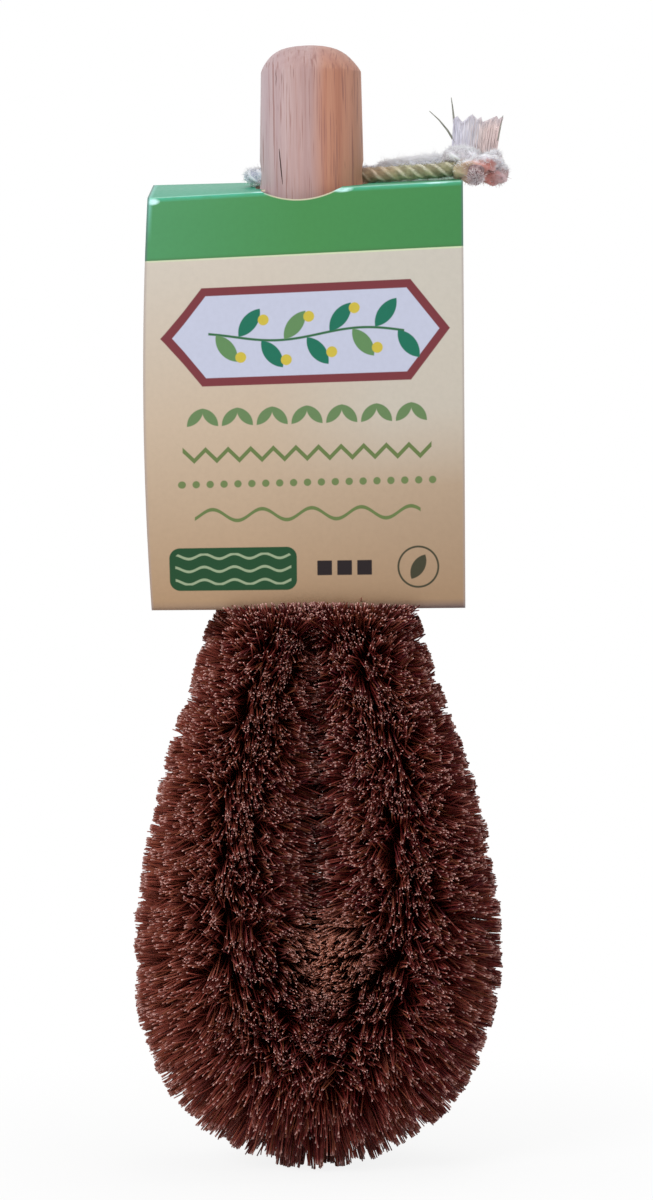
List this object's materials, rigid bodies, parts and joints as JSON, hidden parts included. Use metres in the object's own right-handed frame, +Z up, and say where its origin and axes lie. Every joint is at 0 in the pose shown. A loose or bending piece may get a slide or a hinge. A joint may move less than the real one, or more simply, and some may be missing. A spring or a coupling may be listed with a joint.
{
  "type": "dish brush",
  "caption": "Dish brush with coir tufts in a twisted wire loop, a domed wooden handle, a knotted hanging rope and a card sleeve that slides off over the handle.",
  "frame": {"origin": "centre of the box round the brush without its rope, at the height of the lowest bristle tips", "axes": "+Z up along the handle's axis, towards the domed end; -Y is the front of the card sleeve; +X is the side where the rope's knot lies"},
  "size_m": [0.0883, 0.046, 0.2629],
  "materials": {
    "wood": "raw, sanded",
    "wire": "galvanised",
    "coir": "coarse plant fibre",
    "cotton": "twisted cotton",
    "card": "printed, satin"
  },
  "bodies": {
    "brush": {"handle": "wood", "wire_strand_a": "wire", "wire_strand_b": "wire", "coir_left_1": "coir", "coir_left_2": "coir", "coir_left_3": "coir", "coir_left_4": "coir", "coir_left_5": "coir", "coir_left_6": "coir", "coir_left_7": "coir", "coir_tip": "coir", "coir_right_1": "coir", "coir_right_2": "coir", "coir_right_3": "coir", "coir_right_4": "coir", "coir_right_5": "coir", "coir_right_6": "coir", "coir_right_7": "coir", "rope_front": "cotton", "rope_back": "cotton", "rope_knot": "cotton", "rope_frayed_end": "cotton", "rope_cut_end": "cotton"},
    "sleeve": {"card_sleeve": "card"}
  },
  "joints": [
    {"name": "sleeve_slide", "type": "slide", "parent": "brush", "child": "sleeve", "axis": [0, 0, 1], "range_m": [0, 0.14], "deforming": ["rope_front", "rope_back", "rope_knot", "rope_frayed_end", "rope_cut_end"]}
  ]
}
